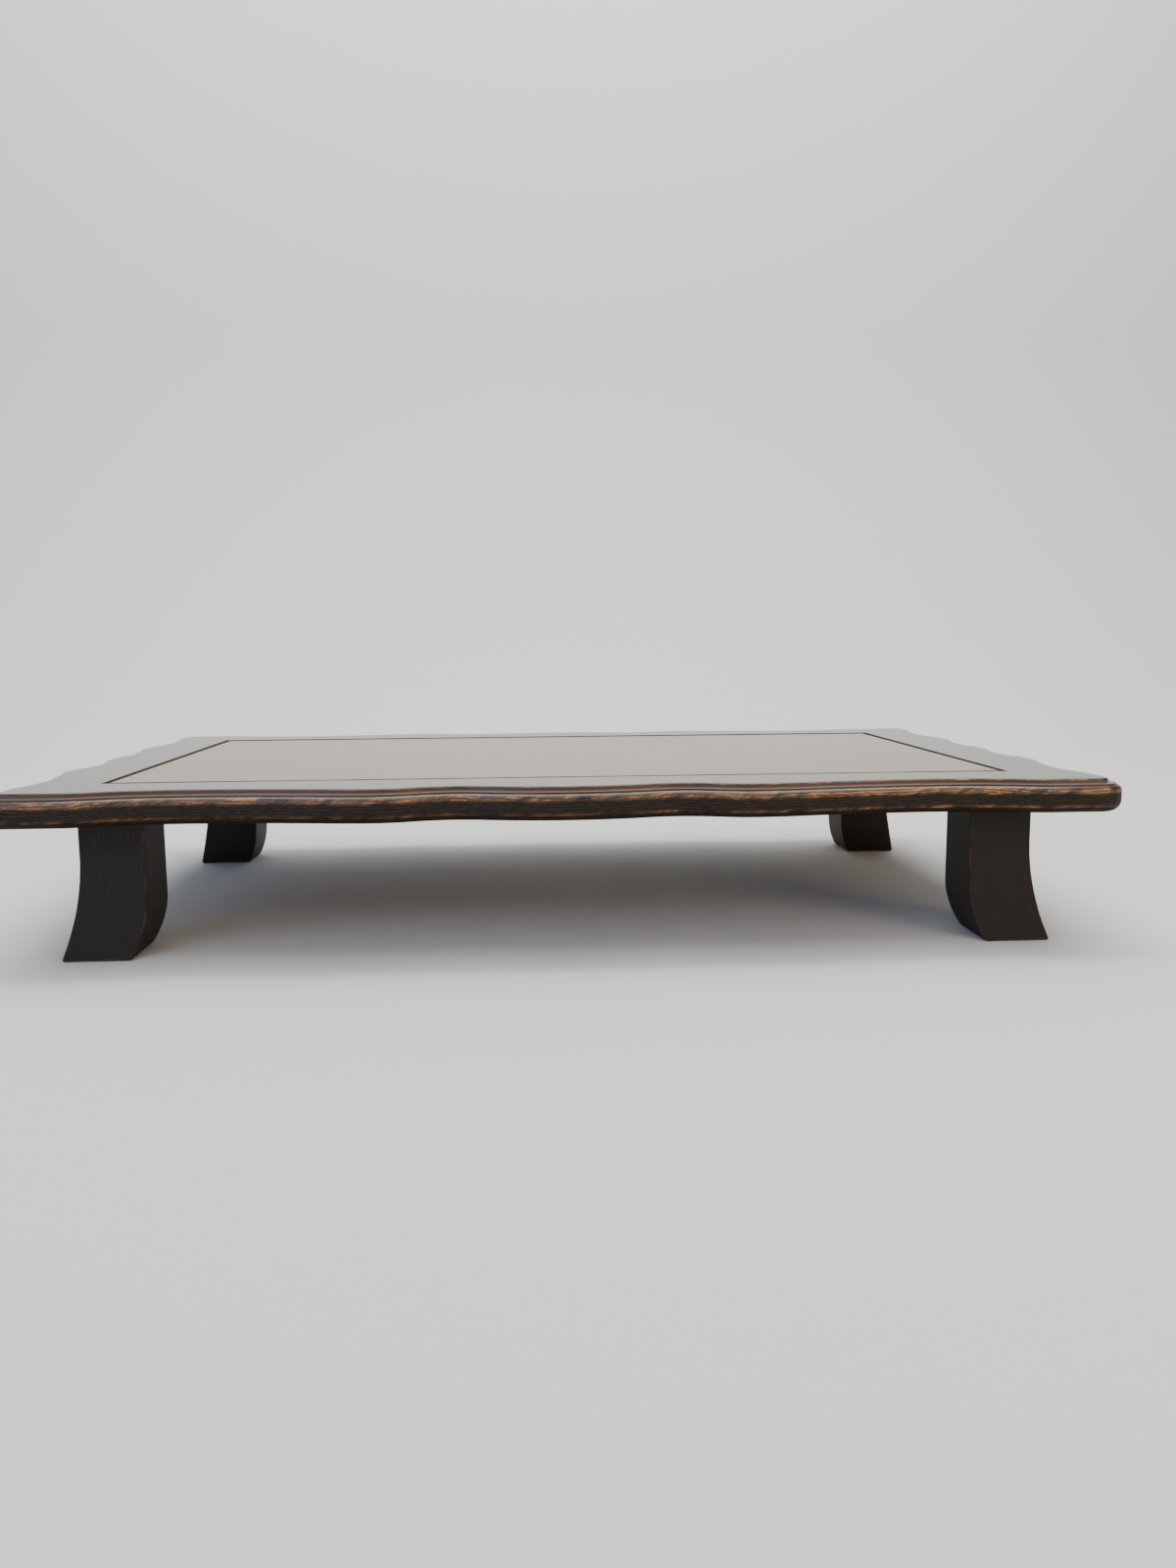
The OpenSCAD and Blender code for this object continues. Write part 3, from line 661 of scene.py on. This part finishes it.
# (distance in from the rim, height, wear, polish)
panel_levels = [(0.0, SHELF_Z, 0.0, 0.0),
                (0.0, TABLE_H - JOINT_CHAMFER, 0.0, 0.0),
                (JOINT_CHAMFER - 0.25, TABLE_H - 0.25, 0.4, -0.8),
                (JOINT_CHAMFER - 0.08, TABLE_H - 0.08, 0.7, -0.6),
                (JOINT_CHAMFER + 0.08, TABLE_H, 0.6, 1.0),
                (JOINT_CHAMFER + 0.4, TABLE_H, 0.0, 1.0)]
bm = stack_of_rectangles([(panel_x - i, panel_y - i, *rest) for i, *rest in panel_levels])
for v in bm.verts:
    if v.co.y > 0 and v.co.z > SINK_FROM * MM:
        v.co.z -= BACK_SINK * MM
# The pith lies 96 mm under the middle of the board and rises slowly to the left.
# This board's own place in the plank is 3.1 m along it.
finish_piece("panel_board", "panel", bm, PANEL_WOOD,
             lambda p: (p[0] + 3.1, p[1] + 0.018, p[2] + 0.002 + 0.045 * p[0]))

# %% [markdown]
# ## The legs
# Seen from the front and from the side, a leg has the same outline: its outer face is
# upright and then sweeps outwards, and its inner face follows it only near the foot. The
# form is what both outlines have in common, so at every height it is a rectangle. The
# rectangles get slightly rounded corners and are stacked, closer together at the foot,
# where the bottom edge is rubbed bare.

# %% Legs
FLARE_H, FOOT_FLARE, HEEL_H, HEEL_IN = 56.0, 9.4, 28.0, 7.7
LEG_ARRIS, LEG_HOLD, SOLE_EASE, SOLE_EASE_H = 0.8, 0.5, 1.2, 1.5
ARRIS_WEAR, LEG_POLISH, SOLE_WORN = 0.35, -0.8, (0.2, 0.7, 1.1)
# Heights of the rings: close together at the eased sole, then 2.5 mm apart up the flare
LEG_HEIGHTS = [0.0, 0.15, 0.4, 0.8, SOLE_EASE_H, 1.7]
LEG_HEIGHTS += [3.0 + 2.5 * i for i in range(22)] + [60.0, FRAME_Z]


def arc_reach(height, reach, z):
    """How far a foot's arc has moved sideways at height z. It is upright at full height."""
    r = (height ** 2 + reach ** 2) / (2 * reach)
    return r - math.sqrt(r * r - max(0.0, height - z) ** 2)


def leg_ring(x0, x1, y0, y1):
    """Rounded rectangle, as (x, y, wear). A point beside each round keeps the faces flat."""
    ring = []
    for cx, cy, start in ((x1, y1, 0), (x0, y1, 90), (x0, y0, 180), (x1, y0, 270)):
        inwards_x = -1 if cx == x1 else 1
        inwards_y = -1 if cy == y1 else 1
        mx, my = cx + inwards_x * LEG_ARRIS, cy + inwards_y * LEG_ARRIS
        turns = [math.radians(start + 30 * step) for step in range(4)]
        corner = [(mx + LEG_ARRIS * math.cos(a), my + LEG_ARRIS * math.sin(a), ARRIS_WEAR)
                  for a in turns]
        beside = [(cx, my + inwards_y * LEG_HOLD, 0.0), (mx + inwards_x * LEG_HOLD, cy, 0.0)]
        first, last = beside if start in (0, 180) else beside[::-1]
        ring += [first, *corner, last]
    return ring


def leg(name, node, side_x, side_y, seed):
    bm = bmesh.new()
    wear, polish = (bm.verts.layers.float.new(label) for label in ("wear", "polish"))
    rings = []
    for z in LEG_HEIGHTS:
        out = arc_reach(FLARE_H, FOOT_FLARE, z)
        heel = arc_reach(HEEL_H, HEEL_IN, z)
        lost = max(0.0, 1 - z / SOLE_EASE_H)
        ease = SOLE_EASE * (1 - math.sqrt(1 - lost * lost))
        ring = []
        for x, y, worn in leg_ring(LEG_X + heel + ease, LEG_X + LEG_W + out - ease,
                                   LEG_Y + heel + ease, LEG_Y + LEG_D + out - ease):
            v = bm.verts.new((side_x * x * MM, side_y * y * MM, z * MM))
            v[wear], v[polish] = max(worn, bell(z, *SOLE_WORN)), LEG_POLISH
            ring.append(v)
        rings.append(ring)
    bm.faces.new(rings[0])
    bm.faces.new(rings[-1])
    join_rings(bm, rings)
    # The legs are cut upright, each from its own place in the same stick.
    pith = (0.23 * seed, -0.06, 0.02 * seed - 0.02)
    finish_piece(name, node, bm, LEG_WOOD,
                 lambda p: (p[2] + pith[0], abs(p[0]) + pith[1], abs(p[1]) + pith[2]))


CORNERS = {"front_left": (-1, -1), "front_right": (1, -1),
           "back_left": (-1, 1), "back_right": (1, 1)}
for number, (place, sides) in enumerate(CORNERS.items()):
    leg(f"flared_{place}_leg", f"{place}_leg", *sides, seed=number + 1)

# %% [markdown]
# ## The battens and the keys
# Underneath, two battens keep the panel flat. They show only from below, and are planed
# boards with eased edges. The four keys lie sealed inside the mitres, so their CAD solids
# stay, in the same plain wood.

# %% Battens and keys
BATTEN_X, BATTEN_W, BATTEN_UP, BATTEN_GAP, EASE = 125.0, 26.0, 2.0, 0.1, 0.6
batten_y = SHELF_Y - BATTEN_GAP
for place, side in (("left", -1), ("right", 1)):
    levels = [(BATTEN_W / 2 - EASE, batten_y, FRAME_Z + BATTEN_UP, 0.2, 0.0),
              (BATTEN_W / 2, batten_y, FRAME_Z + BATTEN_UP + EASE, 0.1, 0.0),
              (BATTEN_W / 2, batten_y, SHELF_Z, 0.0, 0.0)]
    bm = stack_of_rectangles(levels)
    bmesh.ops.translate(bm, verts=bm.verts, vec=(side * BATTEN_X * MM, 0.0, 0.0))
    finish_piece(f"{place}_cross_batten", f"{place}_batten", bm, INNER_WOOD,
                 lambda p: (p[1] + 5.0 + side, p[0] + 0.05, p[2] + 0.02))
for place in CORNERS:
    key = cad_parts[f"{place}_key"]
    key.data.materials.clear()
    key.data.materials.append(INNER_WOOD)
print("battens and keys are done")

# %% [markdown]
# ## Floor, light and camera
# A satin lacquer shows its surroundings, so the surroundings are kept plain: one pale
# sheet that is the floor and curves up behind, like a photographer's paper roll. The top
# is seen at a grazing angle and mirrors that sheet, which makes it look grey although
# the lacquer is nearly black.

# %% Paper sweep
# In metres, with y to the back. The floor lies a hair under the soles.
SWEEP_BACK, SWEEP_R, SWEEP_TOP, SWEEP_HALF, SWEEP_FRONT = 1.3, 0.7, 3.0, 3.2, -3.0
FLOOR_Z, SWEEP_STEPS = -0.0002, 24
sweep = [(SWEEP_FRONT, FLOOR_Z)]
for i in range(SWEEP_STEPS + 1):
    a = math.radians(90 * i / SWEEP_STEPS)
    sweep.append((SWEEP_BACK - SWEEP_R + SWEEP_R * math.sin(a),
                  FLOOR_Z + SWEEP_R * (1 - math.cos(a))))
sweep.append((SWEEP_BACK, SWEEP_TOP))
mesh = bpy.data.meshes.new("paper_sweep")
corners = [(x, y, z) for y, z in sweep for x in (-SWEEP_HALF, SWEEP_HALF)]
quads = [(2 * i, 2 * i + 1, 2 * i + 3, 2 * i + 2) for i in range(len(sweep) - 1)]
mesh.from_pydata(corners, [], quads)
mesh.polygons.foreach_set("use_smooth", [True] * len(quads))
paper = bpy.data.materials.new("matte_white_paper")
paper.use_nodes = True
paper_shader = paper.node_tree.nodes["Principled BSDF"]
paper_shader.inputs["Base Color"].default_value = linear("#dadad8")
paper_shader.inputs["Roughness"].default_value = 0.95
mesh.materials.append(paper)
paper_sweep = bpy.data.objects.new("paper_sweep", mesh)
bpy.context.scene.collection.objects.link(paper_sweep)
print("paper sweep:", len(quads), "faces")

# %% Soft lights


def soft_box(name, place, target, width, height, watts, colour):
    """Oblong lamp at place that shines at target. Its sizes are metres."""
    data = bpy.data.lights.new(name, "AREA")
    data.shape = "RECTANGLE"
    data.size, data.size_y, data.energy = width, height, watts
    data.color = linear(colour)[:3]
    lamp = bpy.data.objects.new(name, data)
    lamp.location = place
    aim = [t - p for t, p in zip(target, place)]
    tilt = math.atan2(math.hypot(aim[0], aim[1]), -aim[2])
    lamp.rotation_euler = (tilt, 0.0, math.atan2(aim[1], aim[0]) - math.pi / 2)
    bpy.context.scene.collection.objects.link(lamp)


# name, place, target, width, height, power, colour
soft_box("top_box", (0.1, 0.05, 1.9), (0.0, 0.05, 0.0), 2.2, 2.2, 46.0, "#fffcf7")
soft_box("room_box", (0.0, -2.0, 1.9), (0.0, 0.0, 0.1), 3.2, 1.6, 18.0, "#fffaf4")
soft_box("backdrop_wash", (0.0, 0.2, 2.2), (0.0, 1.3, 0.5), 2.6, 0.5, 31.0, "#ecf8fb")
soft_box("cool_fill", (-1.6, -1.7, 0.8), (-0.1, 0.0, 0.1), 2.0, 1.2, 20.0, "#a6c0ec")
soft_box("warm_fill", (1.2, -1.5, 0.6), (0.1, 0.0, 0.1), 0.8, 0.8, 9.0, "#ffdab0")
world = bpy.data.worlds.new("grey_room")
world.use_nodes = True
room = world.node_tree.nodes["Background"]
room.inputs["Color"].default_value = linear("#c9ced6")
room.inputs["Strength"].default_value = 0.3
bpy.context.scene.world = world

# %% [markdown]
# The camera stands in front, a hand's width above the table top, and looks slightly down.
# Its place, turn and lens come from fitting the panel joint, the legs and the outline to
# the photograph, whose frame is 1200 by 1600 pixels.

# %% Camera
FOCAL_PIXELS, LONG_SIDE_PIXELS, SENSOR_MM = 1167.0, 1600, 36.0
CAMERA_PLACE, CAMERA_TURN = (-0.02402, -0.76942, 0.17066), (82.7584, 0.3995, -3.3997)
lens = bpy.data.cameras.new("camera")
lens.sensor_width = SENSOR_MM
lens.lens = FOCAL_PIXELS * SENSOR_MM / LONG_SIDE_PIXELS
lens.clip_start = 0.01
camera = bpy.data.objects.new("camera", lens)
camera.location = CAMERA_PLACE
camera.rotation_euler = [math.radians(a) for a in CAMERA_TURN]
bpy.context.scene.collection.objects.link(camera)
bpy.context.scene.camera = camera
print("lens:", round(lens.lens, 2), "mm")
